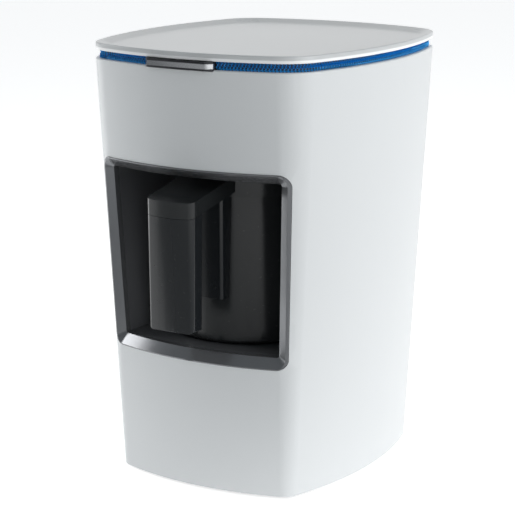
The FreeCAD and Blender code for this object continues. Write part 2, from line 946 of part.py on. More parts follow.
def water_tank():
    outer = tank_outline(0, tank_bottom, tank_top)
    inner = tank_outline(-tank_wall, tank_bottom + tank_wall, tank_top + overrun)
    neck = cylinder(neck_radius, neck_length + overrun, socket_x, socket_y, tank_bottom - neck_length)
    depth = neck_length + tank_wall + 2 * overrun
    bore = cylinder(neck_bore, depth, socket_x, socket_y, tank_bottom - neck_length - overrun)
    return outer.cut(inner).fuse(neck).cut(bore)


def tank_valve():
    low = tank_bottom + tank_wall + fit_gap / 2
    disc = cylinder(valve_radius, valve_height, socket_x, socket_y, low)
    disc = bevelled(disc, valve_edge_bevel, level_at(low + valve_height))
    stem = cylinder(neck_bore - valve_stem_gap, neck_length, socket_x, socket_y, low - neck_length)
    return disc.fuse(stem)


def tank_seat():
    plate = box(-seat_half_width, seat_half_width, tank_front, tank_back, seat_under, seat_level)
    plate = rounded(plate, tank_corner, upright)
    socket = cylinder(socket_radius, socket_height, socket_x, socket_y, seat_under - socket_height + overrun)
    spout_low = seat_under - socket_height + 1
    spout = cylinder(port_radius, port_length, socket_x, socket_y, spout_low - port_length)
    legs = []
    for side in (-1, 1):
        for y in (leg_front_y, leg_back_y):
            height = seat_under - base_top + 1
            x = side * leg_half_x
            legs.append(cylinder(leg_radius, height - fit_gap / 2, x, y, base_top + fit_gap / 2))
    body = plate.fuse([socket, spout] + legs)
    well = cylinder(socket_bore, far, socket_x, socket_y, spout_low + socket_floor)
    way = cylinder(hose_bore, port_length + 3, socket_x, socket_y, spout_low - port_length)
    return body.cut([well, way])


# Pump

def water_pump():
    x0 = pump_x - pump_half_length
    x1 = pump_x + pump_half_length
    along = V(1, 0, 0)
    body = cylinder(pump_radius, x1 - x0 - 2 * pump_end_length, x0 + pump_end_length, socket_y, pump_z, along)
    ends = cylinder(pump_end_radius, x1 - x0, x0, socket_y, pump_z, along)
    ports = cylinder(port_radius, x1 - x0 + 2 * port_length, x0 - port_length, socket_y, pump_z, along)
    way = cylinder(hose_bore, far, -far / 2, socket_y, pump_z, along)
    return fused([body, ends, ports]).cut(way)


def pump_mounts():
    mounts = []
    reach = pump_half_length - pump_end_length / 2
    for x in (pump_x - reach, pump_x + reach):
        block = box(
            x - pump_end_length / 2,
            x + pump_end_length / 2 - fit_gap,
            socket_y - mount_half_width,
            socket_y + mount_half_width,
            base_top + fit_gap / 2,
            mount_top,
        )
        seat = cylinder(pump_end_radius + running_gap, far, -far / 2, socket_y, pump_z, V(1, 0, 0))
        block = block.cut(seat)
        slot = box(-far / 2, far / 2, socket_y - pump_end_radius, socket_y + pump_end_radius, pump_z, far)
        mounts.append(block.cut(slot))
    return mounts


def water_hoses():
    spout_low = seat_under - socket_height + overrun - port_length
    lap = port_length * 0.6
    inlet_x = pump_x + pump_half_length + port_length - lap
    outlet_x = pump_x - pump_half_length - port_length + lap
    bore = port_radius + running_gap
    feed = hose(
        [(socket_x, socket_y, spout_low + lap), (socket_x, socket_y, pump_z), (inlet_x, socket_y, pump_z)],
        feed_bend,
        bore + hose_wall,
        bore,
    )
    rise = hose(
        [
            (outlet_x, socket_y, pump_z),
            (riser_x, socket_y, pump_z),
            (riser_x, socket_y, hose_level),
            (riser_x, nozzle_y, hose_level),
            (0, nozzle_y, hose_level),
            (0, nozzle_y, ceiling_top + nozzle_height - lap),
        ],
        hose_bend,
        bore + hose_wall,
        bore,
    )
    return [feed, rise]


# Nozzle, sensor, board

def water_nozzle():
    low = ceiling_z - nozzle_drop
    body = cylinder(nozzle_radius, ceiling_top + nozzle_shoulder - low, 0, nozzle_y, low)
    flange = cylinder(nozzle_flange, 3, 0, nozzle_y, ceiling_top + fit_gap / 2)
    port = cylinder(port_radius, nozzle_height - overrun, 0, nozzle_y, ceiling_top + overrun)
    way = cylinder(nozzle_bore, far, 0, nozzle_y, low - overrun)
    return fused([body, flange, port]).cut(way)


def boil_sensor():
    low = ceiling_z - 1.0
    body = cylinder(sensor_radius, sensor_height + liner_wall, sensor_x, sensor_y, low)
    brim = cylinder(sensor_radius + 2, 2, sensor_x, sensor_y, ceiling_top + fit_gap / 2)
    dimple = Part.makeCone(sensor_radius * 0.7, sensor_radius * 0.4, 1.2, V(sensor_x, sensor_y, low))
    return fused([body, brim]).cut(dimple)


def control_board():
    board = box(
        -board_half_length,
        board_half_length,
        board_y - board_half_width,
        board_y + board_half_width,
        board_z + fit_gap / 2,
        board_z + fit_gap / 2 + board_thickness,
    )
    return board.cut([cylinder(screw_radius + fit_gap, far, x, y, 0) for x, y in board_holes()])


def on_board(x, length, half_width, height):
    """A block soldered along the middle of the board."""
    z = board_z + fit_gap / 2 + board_thickness + solder_gap
    return box(x, x + length, board_y - half_width, board_y + half_width, z, z + height * loft_scale)


def board_parts():
    z = board_z + fit_gap / 2 + board_thickness + solder_gap
    relay = on_board(relay_x, relay_length, relay_half_width, relay_height)
    transformer = on_board(transformer_x, transformer_length, transformer_half_width, transformer_height)
    chip = on_board(chip_x, chip_length, chip_half_width, chip_height)
    connector = box(
        -connector_half_length,
        connector_half_length,
        board_y + connector_inner,
        board_y + connector_outer,
        z,
        z + connector_height * loft_scale,
    )
    capacitors = [
        cylinder(capacitor_radius, capacitor_height * loft_scale, x, board_y - capacitor_inset, z)
        for x in (capacitor_x - capacitor_half_gap, capacitor_x + capacitor_half_gap)
    ]
    return [relay, transformer, chip, connector] + capacitors


def board_screws():
    z = board_z + fit_gap / 2 + board_thickness
    upright_screws = []
    for x, y in board_holes():
        turned_over = screw(x, y, z, board_screw_length)
        turned_over = turned_over.mirror(V(x, y, z), V(0, 0, 1))
        upright_screws.append(turned_over)
    return upright_screws


# Cord gland

def cord_gland():
    along = V(0, 1, 0)
    skin = envelope(-gland_proud).cut(envelope(-0.05))
    outside = skin.common(cylinder(gland_flange, far, gland_x, 0, gland_z, along))
    neck = envelope(-gland_proud / 2).cut(envelope(case_wall + 2))
    neck = neck.common(cylinder(gland_radius, far, gland_x, 0, gland_z, along))
    inside = envelope(case_wall + 0.1).cut(envelope(case_wall + 2))
    inside = inside.common(cylinder(gland_flange, far, gland_x, 0, gland_z, along))
    return fused([outside, neck, inside]).cut(cylinder(gland_bore, far, gland_x, 0, gland_z, along))


# Coffee pot

def pot_radius(z):
    share = (z - pot_bottom) / (collar_bottom - pot_bottom)
    return pot_base_radius + (pot_top_radius - pot_base_radius) * share


def pot_shell():
    high = collar_bottom - fit_gap
    floor = pot_bottom + pot_floor
    profile = [
        (pot_plate_radius + fit_gap, pot_bottom),
        (pot_base_radius - pot_base_round, pot_bottom),
        (pot_base_radius - pot_base_round * 0.3, pot_bottom + pot_base_round * 0.3),
        (pot_radius(pot_bottom + pot_base_round), pot_bottom + pot_base_round),
        (pot_radius(high), high),
        (pot_radius(high) - pot_wall, high),
        (pot_radius(floor) - pot_wall, floor),
        (pot_plate_radius + fit_gap, floor),
    ]
    return turned(profile, 0, pot_y)


def pot_base_plate():
    disc = cylinder(pot_plate_radius, pot_plate_thickness, 0, pot_y, pot_bottom)
    return bevelled(disc, 0.5, level_at(pot_bottom))


def pot_vessel():
    low = pot_bottom + pot_plate_thickness + fit_gap / 2
    high = collar_top - collar_lip
    inner = vessel_radius - vessel_wall
    profile = [
        (0, low),
        (vessel_radius, low),
        (vessel_radius, high),
        (vessel_rim_radius, high),
        (vessel_rim_radius, high + vessel_wall),
        (inner, high + vessel_wall),
        (inner, low + vessel_wall),
        (0, low + vessel_wall),
    ]
    return turned(profile, 0, pot_y)


def slope_plane(front_z):
    """Everything below the sloping plane that passes the grip's front at front_z."""
    back = pot_y
    rise = bridge_slope * (back - grip_front)
    points = [
        V(-far / 2, grip_front - 5, front_z - 5 * bridge_slope),
        V(-far / 2, back, front_z + rise),
        V(-far / 2, back, -far / 3),
        V(-far / 2, grip_front - 5, -far / 3),
    ]
    return polygon_prism(points, V(far, 0, 0))


def grip_arcs():
    """Grip outline at the top: a convex front arc, rounded corners and a flat back."""
    half = grip_top_half_width
    radius = (half**2 + grip_bulge**2) / (2 * grip_bulge)
    round_off = grip_corner_radius
    centre_y = grip_front + radius
    corner_x = half - round_off
    corner_y = centre_y - math.sqrt((radius - round_off) ** 2 - corner_x**2)
    back_y = grip_front + grip_depth - round_off
    lean = math.atan2(corner_y - centre_y, corner_x)
    right_angle = math.pi / 2
    return [
        (0.0, centre_y, radius, -2 * right_angle - lean, lean),
        (corner_x, corner_y, round_off, lean, 0.0),
        (corner_x, back_y, round_off, 0.0, right_angle),
        (-corner_x, back_y, round_off, right_angle, 2 * right_angle),
        (-corner_x, corner_y, round_off, 2 * right_angle, 2 * right_angle - lean),
    ]


def grip_column():
    return drafted(grip_arcs(), [(grip_taper, grip_bottom), (0.0, collar_top)])


def handle_screw_ways(radius):
    y = grip_front + grip_depth / 2
    low = cap_front_top - handle_screw_cover - handle_screw_length
    places = (-handle_screw_half_x, handle_screw_half_x)
    return [cylinder(radius, handle_screw_length, x, y, low) for x in places]


def foot_edge_along(direction):
    """The grip's foot edges that run in one direction."""

    def test(edge):
        if not level_at(grip_bottom)(edge):
            return False
        run = edge.Vertexes[1].Point - edge.Vertexes[0].Point
        return abs(run.normalize().dot(direction)) > 0.99

    return test


def handle_grip():
    reach = grip_top_half_width
    block = box(-reach, reach, grip_front, grip_front + grip_depth, grip_bottom, collar_top)
    seen = rounded(block, grip_foot_side_round, foot_edge_along(V(0, 1, 0)))
    beside = rounded(block, grip_foot_front_round, foot_edge_along(V(1, 0, 0)))
    grip = grip_column().common(seen).common(beside)
    grip = grip.common(slope_plane(cap_front_top - cap_thickness - fit_gap))
    return grip.cut(handle_screw_ways(handle_screw_radius + running_gap))


def pot_collar():
    body = ring(collar_radius, collar_inner, collar_top - collar_bottom, 0, pot_y, collar_bottom)
    ledge = cylinder(vessel_rim_radius + fit_gap, collar_lip + 0.1, 0, pot_y, collar_top - collar_lip - 0.1)
    top = slope_plane(cap_front_top)
    low = slope_plane(cap_front_top - cap_thickness)
    bar = box(
        -grip_top_half_width,
        grip_top_half_width,
        grip_front + grip_depth / 2,
        pot_y - collar_inner - 3,
        collar_bottom - 20,
        collar_top,
    )
    cap = grip_column().fuse(bar).common(top).cut(low)
    cap = cap.cut(handle_screw_ways(handle_screw_radius + running_gap))
    inside = cylinder(collar_inner, far, 0, pot_y, 0)
    spare = cylinder(pot_top_radius, collar_bottom, 0, pot_y, 0)
    return fused([body, cap.cut([inside, spare])]).cut(ledge)


def handle_back_plate():
    block = box(-plate_half_width, plate_half_width, plate_front, pot_y, plate_bottom, collar_top)
    block = rounded(block, plate_edge_round, lambda e: upright(e) and e.Vertexes[0].Point.y < plate_front + 1)
    block = block.common(slope_plane(cap_front_top - cap_thickness - fit_gap))
    base = V(0, pot_y, pot_bottom)
    height = collar_bottom - pot_bottom
    cone = Part.makeCone(pot_base_radius + fit_gap, pot_top_radius + fit_gap, height, base)
    above = cylinder(collar_radius + fit_gap, far, 0, pot_y, collar_bottom - fit_gap)
    return block.cut([cone, above])


def handle_screws():
    return handle_screw_ways(handle_screw_radius)


def main():
    nodes = [
        outer_casing,
        front_bezel,
        chamber_liner,
        heater_plate,
        heater_element,
        thermostat,
        heat_shield,
        base_cover,
        rubber_feet,
        base_screws,
        top_deck,
        vent_band,
        lid_shell,
        lid_inner_panel,
        lid_seal,
        hinge_bracket,
        hinge_pin,
        start_button,
        button_switch,
        water_tank,
        tank_valve,
        tank_seat,
        water_pump,
        pump_mounts,
        water_hoses,
        water_nozzle,
        boil_sensor,
        control_board,
        board_parts,
        board_screws,
        cord_gland,
        pot_shell,
        pot_base_plate,
        pot_vessel,
        pot_collar,
        handle_grip,
        handle_back_plate,
        handle_screws,
    ]
    for make in nodes:
        export(make.__name__, make())


main()
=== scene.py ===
import json
import math

import bpy
import bmesh
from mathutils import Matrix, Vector


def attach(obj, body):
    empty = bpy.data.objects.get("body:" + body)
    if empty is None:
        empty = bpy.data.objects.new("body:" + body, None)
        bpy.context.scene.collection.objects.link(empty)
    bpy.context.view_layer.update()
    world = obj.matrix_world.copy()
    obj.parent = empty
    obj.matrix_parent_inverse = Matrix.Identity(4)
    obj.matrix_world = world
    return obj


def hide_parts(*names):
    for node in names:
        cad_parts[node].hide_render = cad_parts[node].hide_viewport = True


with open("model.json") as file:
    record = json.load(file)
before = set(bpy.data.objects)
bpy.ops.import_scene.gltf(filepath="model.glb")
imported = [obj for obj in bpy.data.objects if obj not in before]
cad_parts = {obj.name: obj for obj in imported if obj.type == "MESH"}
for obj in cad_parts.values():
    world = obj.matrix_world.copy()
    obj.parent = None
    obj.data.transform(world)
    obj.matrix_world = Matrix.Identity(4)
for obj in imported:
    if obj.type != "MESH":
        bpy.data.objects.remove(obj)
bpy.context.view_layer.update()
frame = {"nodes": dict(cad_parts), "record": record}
nodes = frame["nodes"]
print("frame loaded with", len(nodes), "nodes")


# Maths on sockets, nodes and finishes

class Wire:
    def __init__(self, tree, socket):
        self.tree = tree
        self.socket = socket

    def join(self, operation, first, second=None):
        maths = self.tree.nodes.new("ShaderNodeMath")
        maths.operation = operation
        for place, value in enumerate((first, second)):
            if isinstance(value, Wire):
                self.tree.links.new(value.socket, maths.inputs[place])
            elif value is not None:
                maths.inputs[place].default_value = value
        return Wire(self.tree, maths.outputs[0])

    def __add__(self, other):
        return self.join("ADD", self, other)

    def __radd__(self, other):
        return self.join("ADD", other, self)

    def __sub__(self, other):
        return self.join("SUBTRACT", self, other)

    def __rsub__(self, other):
        return self.join("SUBTRACT", other, self)

    def __mul__(self, other):
        return self.join("MULTIPLY", self, other)

    def __rmul__(self, other):
        return self.join("MULTIPLY", other, self)

    def __truediv__(self, other):
        return self.join("DIVIDE", self, other)

    def most(self, other):
        return self.join("MAXIMUM", self, other)

    def size(self):
        return self.join("ABSOLUTE", self)

    def floor(self):
        return self.join("FLOOR", self)

    def remainder(self, other):
        return self.join("MODULO", self, other)

    def below(self, other):
        return self.join("LESS_THAN", self, other)


class Bench:
    # adds nodes to one tree; sockets are given by name, as in offsetScale for Offset Scale
    def __init__(self, tree):
        self.tree = tree

    def add(self, kind, settings=None, **sockets):
        node = self.tree.nodes.new(kind)
        for name, value in (settings or {}).items():
            setattr(node, name, value)
        for name, value in sockets.items():
            self.feed(self.find(node, name), value)
        return node

    def find(self, node, name):
        for entry in node.inputs:
            if entry.enabled and entry.name.replace(" ", "").lower() == name.lower():
                return entry
        raise KeyError(name)

    def feed(self, socket, value):
        if isinstance(value, Wire):
            self.tree.links.new(value.socket, socket)
        elif isinstance(value, bpy.types.NodeSocket):
            self.tree.links.new(value, socket)
        else:
            socket.default_value = value

    def wire(self, node, output=0):
        return Wire(self.tree, node.outputs[output])

    def ramp(self, value, low, high):
        # 0 below low, 1 above high, smooth between
        node = self.add(
            "ShaderNodeMapRange", {"interpolation_type": "SMOOTHSTEP"}, value=value, fromMin=low, fromMax=high
        )
        return self.wire(node)

    def blend(self, share, first, second):
        node = self.add("ShaderNodeMix", {"data_type": "RGBA"})
        self.feed(node.inputs[0], share)
        for socket, colour in ((node.inputs[6], first), (node.inputs[7], second)):
            self.feed(socket, (*colour, 1) if isinstance(colour, tuple) else colour)
        return node.outputs[2]


class Finish(Bench):
    # one material and the nodes that draw it
    def __init__(self, name):
        self.material = bpy.data.materials.new(name)
        self.material.use_nodes = True
        super().__init__(self.material.node_tree)
        self.shader = self.tree.nodes["Principled BSDF"]
        self.place = self.add("ShaderNodeTexCoord").outputs["Object"]

    def stretched(self, scale):
        return self.add("ShaderNodeMapping", vector=self.place, scale=scale).outputs[0]

    def noise(self, scale, detail=3.0, rough=0.5, vector=None):
        vector = vector or self.place
        node = self.add("ShaderNodeTexNoise", vector=vector, scale=scale, detail=detail, roughness=rough)
        return self.wire(node)

    def axis(self, name):
        return self.wire(self.add("ShaderNodeSeparateXYZ", vector=self.place), name)

    def bump(self, height, distance, strength):
        return self.add("ShaderNodeBump", height=height, distance=distance, strength=strength).outputs[0]

    def finish(self, **sockets):
        for name, value in sockets.items():
            self.feed(self.find(self.shader, name), value)
        return self.material


def shade(colour, factor):
    return tuple(min(1.0, part * factor) for part in colour)


plastic = {
    "flowScale": 14,
    "flowStretch": (1, 1, 0.35),
    "handledScale": 45,
    "handledShare": 0.04,
    "grainShare": 0.02,
    "speckScale": 500,
    "speckEdge": (0.70, 0.78),
    "dust": (0.45, 0.44, 0.42),
    "bump": 0.5,
    "coatRoughness": 0.08,
}


def mouldedPlastic(name, colour, rough, grain=240, depth=0.0000015, coat=0.0, tint=0.03, dusty=0.03):
    # flow marks in the colour, an eggshell grain, small changes of gloss and a trace of dust
    look = Finish(name)
    flow = look.noise(plastic["flowScale"], detail=2, vector=look.stretched(plastic["flowStretch"]))
    fine = look.noise(grain, detail=1)
    handled = look.noise(plastic["handledScale"], detail=2)
    specks = look.ramp(look.noise(plastic["speckScale"], detail=1), *plastic["speckEdge"])
    base = look.blend(flow, shade(colour, 1 - tint), shade(colour, 1 + tint))
    return look.finish(
        baseColor=look.blend(specks * dusty, base, plastic["dust"]),
        roughness=rough + (handled - 0.5) * plastic["handledShare"] + (fine - 0.5) * plastic["grainShare"],
        normal=look.bump(fine, depth, plastic["bump"]),
        coatWeight=coat,
        coatRoughness=plastic["coatRoughness"],
    )


metal = {
    "lineStretch": 0.02,
    "lineRough": 0.7,
    "lineShare": 0.14,
    "pressureScale": 30,
    "pressureShare": 0.08,
    "smearScale": 55,
    "smearRough": 0.6,
    "smearEdge": (0.45, 0.7),
    "smearShare": 0.04,
    "bump": 0.5,
}


def brushedMetal(name, colour, rough, along="X", lines=900, depth=0.00001, tint=0.12, metallic=1.0):
    # long brush lines along one axis, with uneven pressure and a few finger smears
    look = Finish(name)
    stretch = [metal["lineStretch"] if axis == along else 1 for axis in "XYZ"]
    strokes = look.noise(lines, detail=4, rough=metal["lineRough"], vector=look.stretched(stretch))
    pressure = (look.noise(metal["pressureScale"], detail=3) - 0.5) * metal["pressureShare"]
    smudges = look.noise(metal["smearScale"], detail=5, rough=metal["smearRough"])
    smear = look.ramp(smudges, *metal["smearEdge"]) * metal["smearShare"]
    return look.finish(
        baseColor=look.blend(strokes, shade(colour, 1 - tint), shade(colour, 1 + tint)),
        metallic=metallic,
        roughness=rough + (strokes - 0.5) * metal["lineShare"] + pressure + smear,
        normal=look.bump(strokes, depth, metal["bump"]),
    )


rubber = {
    "grainScale": 1400,
    "grainRough": 0.7,
    "grainShare": 0.12,
    "bloomScale": 60,
    "bloomEdge": (0.4, 0.75),
    "bloomShare": 0.35,
    "bloomLightness": 1.9,
    "bump": 0.8,
}


def softRubber(name, colour, rough=0.75, depth=0.00005):
    # matt rubber: coarse grain, chalky bloom in patches
    look = Finish(name)
    fine = look.noise(rubber["grainScale"], detail=3, rough=rubber["grainRough"])
    bloom = look.ramp(look.noise(rubber["bloomScale"], detail=4), *rubber["bloomEdge"])
    return look.finish(
        baseColor=look.blend(bloom * rubber["bloomShare"], colour, shade(colour, rubber["bloomLightness"])),
        roughness=rough + (fine - 0.5) * rubber["grainShare"],
        normal=look.bump(fine, depth, rubber["bump"]),
    )


lidLacquerAndPaintedLight = {
    # the side colour is a painted highlight and the top colour a painted shade of one light grey lacquer
    "side": (0.96, 0.965, 0.965),
    "top": (0.58, 0.595, 0.60),
    "turnsGrey": (0.2754, 0.2763),
    "driftScale": 9,
    "driftHeight": 0.0002,
    "driftTint": 0.015,
    "driftShare": 0.05,
    "grainScale": 240,
    "grainShare": 0.02,
    "grainDepth": 0.0000015,
    "bump": 0.4,
    "rough": 0.33,
    "coat": 0.15,
    "coatRoughness": 0.1,
}


def lidFinishWithPaintedLight(name):
    # satin light grey lacquer; its edge is painted lighter, a painted highlight, and its flat panel painted
    # darker, a painted shade against the light from above
    look = Finish(name)
    drift = look.noise(lidLacquerAndPaintedLight["driftScale"], detail=2)
    fine = look.noise(lidLacquerAndPaintedLight["grainScale"], detail=1)
    height = look.axis("Z") + (drift - 0.5) * lidLacquerAndPaintedLight["driftHeight"]
    top = lidLacquerAndPaintedLight["top"]
    tint = lidLacquerAndPaintedLight["driftTint"]
    panel = look.blend(drift, shade(top, 1 - tint), shade(top, 1 + tint))
    drifting = (drift - 0.5) * lidLacquerAndPaintedLight["driftShare"]
    return look.finish(
        # by height: painted highlight on the edge, painted shade over the flat panel
        baseColor=look.blend(look.ramp(height, *lidLacquerAndPaintedLight["turnsGrey"]), lidLacquerAndPaintedLight["side"], panel),
        roughness=lidLacquerAndPaintedLight["rough"] + drifting + (fine - 0.5) * lidLacquerAndPaintedLight["grainShare"],
        normal=look.bump(fine, lidLacquerAndPaintedLight["grainDepth"], lidLacquerAndPaintedLight["bump"]),
        coatWeight=lidLacquerAndPaintedLight["coat"],
        coatRoughness=lidLacquerAndPaintedLight["coatRoughness"],
    )


bar = {
    "face": (0.30, 0.305, 0.315),
    # the edge colour is a painted shade for the shadow gaps above and below the bar
    "edge": (0.035, 0.036, 0.04),
    "tint": 0.06,
    "lineScale": 900,
    "lineStretch": (0.02, 1, 1),
    "lineRough": 0.7,
    "lineHeight": 0.0003,
    "lineShare": 0.1,
    "lineDepth": 0.000002,
    "bump": 0.5,
    "upperEdge": (0.2722, 0.2727),
    "lowerEdge": (0.2697, 0.2692),
    "rough": 0.22,
    "edgeShare": 0.25,
    "metallic": 0.9,
}


def barMetal(name):
    # brushed bar whose upper and lower edges are painted dark, a painted shade for the shadow gaps above and
    # below it
    look = Finish(name)
    along = look.stretched(bar["lineStretch"])
    strokes = look.noise(bar["lineScale"], detail=4, rough=bar["lineRough"], vector=along)
    height = look.axis("Z") + (strokes - 0.5) * bar["lineHeight"]
    lowStart, lowEnd = bar["lowerEdge"]
    # painted shade: darker towards the top and bottom edges of the bar
    paintedEdgeShade = look.ramp(height, *bar["upperEdge"]).most(look.ramp(lowStart - height, 0.0, lowStart - lowEnd))
    face = look.blend(strokes, shade(bar["face"], 1 - bar["tint"]), shade(bar["face"], 1 + bar["tint"]))
    return look.finish(
        baseColor=look.blend(paintedEdgeShade, face, bar["edge"]),
        metallic=bar["metallic"],
        roughness=bar["rough"] + (strokes - 0.5) * bar["lineShare"] + paintedEdgeShade * bar["edgeShare"],
        normal=look.bump(strokes, bar["lineDepth"], bar["bump"]),
    )


clear = {
    "waveScale": 22,
    "waveShare": 0.03,
    "waveDepth": 0.0003,
    "waveTint": 0.93,
    "wearScale": 380,
    "wearRough": 0.7,
    "wearEdge": (0.5, 0.8),
    "wearShare": 0.08,
    "bump": 0.3,
    "transmission": 0.82,
    "ior": 1.49,
}


def clearMoulding(name, tintColour, rough):
    # clear moulding: faint tint, flow waves and fine wear
    look = Finish(name)
    waves = look.noise(clear["waveScale"], detail=3)
    scratches = look.noise(clear["wearScale"], detail=4, rough=clear["wearRough"])
    wear = look.ramp(scratches, *clear["wearEdge"]) * clear["wearShare"]
    return look.finish(
        baseColor=look.blend(waves, tintColour, shade(tintColour, clear["waveTint"])),
        roughness=rough + wear + (waves - 0.5) * clear["waveShare"],
        transmissionWeight=clear["transmission"],
        ior=clear["ior"],
        normal=look.bump(waves, clear["waveDepth"], clear["bump"]),
    )


cast = {
    "pitScale": 1100,
    "pitRough": 0.7,
    "pitShare": 0.16,
    "pitDepth": 0.0001,
    "bump": 0.9,
    "stain": (0.30, 0.22, 0.15),
    "stainScale": 40,
    "stainEdge": (0.4, 0.7),
    "stainShare": 0.4,
    "rough": 0.5,
    "metallic": 0.9,
}


def castMetal(name, colour):
    # cast aluminium: pitted, dull, with a heat stain
    look = Finish(name)
    pits = look.noise(cast["pitScale"], detail=5, rough=cast["pitRough"])
    stain = look.ramp(look.noise(cast["stainScale"], detail=3), *cast["stainEdge"])
    return look.finish(
        baseColor=look.blend(stain * cast["stainShare"], colour, cast["stain"]),
        metallic=cast["metallic"],
        roughness=cast["rough"] + pits * cast["pitShare"],
        normal=look.bump(pits, cast["pitDepth"], cast["bump"]),
    )


board = {
    "lacquer": (0.012, 0.12, 0.045),
    "track": (0.03, 0.26, 0.09),
    "cellScale": 260.0,
    "cellDisorder": 0.25,
    "trackEdge": (0.34, 0.42),
    "weaveScale": 900,
    "weaveShare": 0.12,
    "weaveHeight": 0.1,
    "reliefDepth": 0.00006,
    "bump": 0.8,
    "rough": 0.34,
    "coat": 0.3,
}


def circuitBoard(name):
    # green lacquer over copper tracks on a crossed grid
    look = Finish(name)
    cells = look.add(
        "ShaderNodeTexVoronoi",
        {"distance": "CHEBYCHEV"},
        vector=look.place,
        scale=board["cellScale"],
        randomness=board["cellDisorder"],
    )
    tracks = look.ramp(look.wire(cells), *board["trackEdge"])
    weave = look.noise(board["weaveScale"], detail=2)
    return look.finish(
        baseColor=look.blend(tracks, board["lacquer"], board["track"]),
        roughness=board["rough"] + weave * board["weaveShare"],
        coatWeight=board["coat"],
        normal=look.bump(tracks + weave * board["weaveHeight"], board["reliefDepth"], board["bump"]),
    )


finishes = {
    "casing_white": mouldedPlastic(
        "casingWhite", (0.685, 0.703, 0.71), 0.33, coat=0.1, tint=0.006, dusty=0.01
    ),
    "bezel_metal": brushedMetal(
        "bezelMetal", (0.22, 0.225, 0.235), 0.20, along="X", tint=0.04, depth=0.000002, metallic=0.6
    ),
    "chamber_black": mouldedPlastic("chamberBlack", (0.11, 0.113, 0.12), 0.34, tint=0.06),
    "lid_grey": lidFinishWithPaintedLight("lidGrey"),
    "band_blue": brushedMetal("bandBlue", (0.02, 0.34, 0.80), 0.34, along="Z", tint=0.10, metallic=0.15),
    "button_grey": barMetal("buttonGrey"),
    "pot_black": mouldedPlastic("potBlack", (0.017, 0.019, 0.020), 0.21, tint=0.08),
    "handle_black": mouldedPlastic("handleBlack", (0.013, 0.015, 0.017), 0.16, tint=0.08),
    "steel": brushedMetal("potSteel", (0.62, 0.61, 0.59), 0.24, along="Z", tint=0.08),
    "heater_metal": brushedMetal("heaterMetal", (0.40, 0.39, 0.38), 0.33, along="Y", lines=500),
    "heater_casting": castMetal("heaterCasting", (0.46, 0.46, 0.47)),
    "switch_ceramic": mouldedPlastic("switchCeramic", (0.74, 0.71, 0.64), 0.55, grain=1600, depth=0.00002),
    "base_dark": mouldedPlastic(
        "baseDark", (0.035, 0.037, 0.041), 0.48, grain=1300, depth=0.00003, tint=0.08
    ),
    "foot_rubber": softRubber("footRubber", (0.022, 0.022, 0.023)),
    "deck_white": mouldedPlastic("deckWhite", (0.66, 0.67, 0.67), 0.42, tint=0.02),
    "tank_clear": clearMoulding("tankClear", (0.86, 0.90, 0.93), 0.07),
    "seat_grey": mouldedPlastic("seatGrey", (0.30, 0.31, 0.32), 0.46, tint=0.04),
    "seal_silicone": softRubber("sealSilicone", (0.52, 0.53, 0.55), 0.52, depth=0.00002),
    "hose_silicone": softRubber("hoseSilicone", (0.60, 0.60, 0.57), 0.40, depth=0.00002),
    "pump_black": mouldedPlastic(
        "pumpBlack", (0.025, 0.025, 0.028), 0.52, grain=1500, depth=0.00003, tint=0.1
    ),
    "board_green": circuitBoard("boardGreen"),
    "board_parts_dark": mouldedPlastic("boardPartsDark", (0.028, 0.028, 0.030), 0.44, tint=0.15),
    "screw_steel": brushedMetal("screwSteel", (0.55, 0.56, 0.58), 0.30, along="Z", lines=1500),
    "gland_rubber": softRubber("glandRubber", (0.026, 0.026, 0.027), 0.62),
}
slotOf = {entry["node"]: entry["material_slot"] for entry in frame["record"]["subparts"]}
for name, node in nodes.items():
    node.data.materials.clear()
    node.data.materials.append(finishes[slotOf[name]])
print("finishes laid on", len(finishes), "slots")


# Pieces

bodyOf = {}
for body, members in frame["record"]["behaviour"]["bodies"].items():
    for member in members:
        bodyOf[member] = body


def placed(name, mesh, body, slot, *stoodFor):
    piece = bpy.data.objects.new(name, mesh)
    bpy.context.scene.collection.objects.link(piece)
    if not mesh.materials:
        mesh.materials.append(finishes[slot])
    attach(piece, body)
    if stoodFor:
        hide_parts(*stoodFor)
    return piece


dressing = {
    "mergeDistance": 0.000002,
    "flatAngle": math.radians(0.4),
    "smoothAngle": math.radians(50),
    "weight": 60,
}


def dressed(node, name):
    # the CAD shape, joined up and shaded smooth over its edge breaks
    mesh = nodes[node].data.copy()
    mesh.name = name
    shape = bmesh.new()
    shape.from_mesh(mesh)
    bmesh.ops.remove_doubles(shape, verts=shape.verts, dist=dressing["mergeDistance"])
    bmesh.ops.dissolve_limit(
        shape, angle_limit=dressing["flatAngle"], verts=shape.verts, edges=shape.edges, delimit={"SHARP"}
    )
    shape.to_mesh(mesh)
    shape.free()
    if "custom_normal" in mesh.attributes:
        mesh.attributes.remove(mesh.attributes["custom_normal"])
    mesh.shade_smooth()
    mesh.set_sharp_from_angle(angle=dressing["smoothAngle"])
    piece = placed(name, mesh, bodyOf[node], slotOf[node], node)
    weighted = piece.modifiers.new("evenNormals", "WEIGHTED_NORMAL")
    weighted.keep_sharp = True
    weighted.weight = dressing["weight"]
    return piece


for node, name in {
    "outer_casing": "casingSkin",
    "front_bezel": "bezelFrame",
    "chamber_liner": "chamberWalls",
    "lid_shell": "lidTop",
    "start_button": "pushBar",
    "pot_shell": "potBody",
    "pot_collar": "potRim",
    "pot_vessel": "potLining",
    "handle_grip": "potGrip",
    "handle_back_plate": "potPlate",
    "heater_plate": "hotPlate",
    "base_cover": "baseTray",
    "rubber_feet": "rubberFeet",
    "top_deck": "deckFrame",
    "water_tank": "tankWalls",
    "water_nozzle": "waterNozzle",
}.items():
    dressed(node, name)
print("dressed pieces placed")


# Perforated band under the lid

outline = {
    "halfWidth": 0.0904,
    "halfDepth": 0.1037,
    "frontRadius": 0.193,
    "sideRadius": 0.257,
    "cornerRadius": 0.027,
    "shiftY": 0.00635,
    "arcPoints": 24,
}


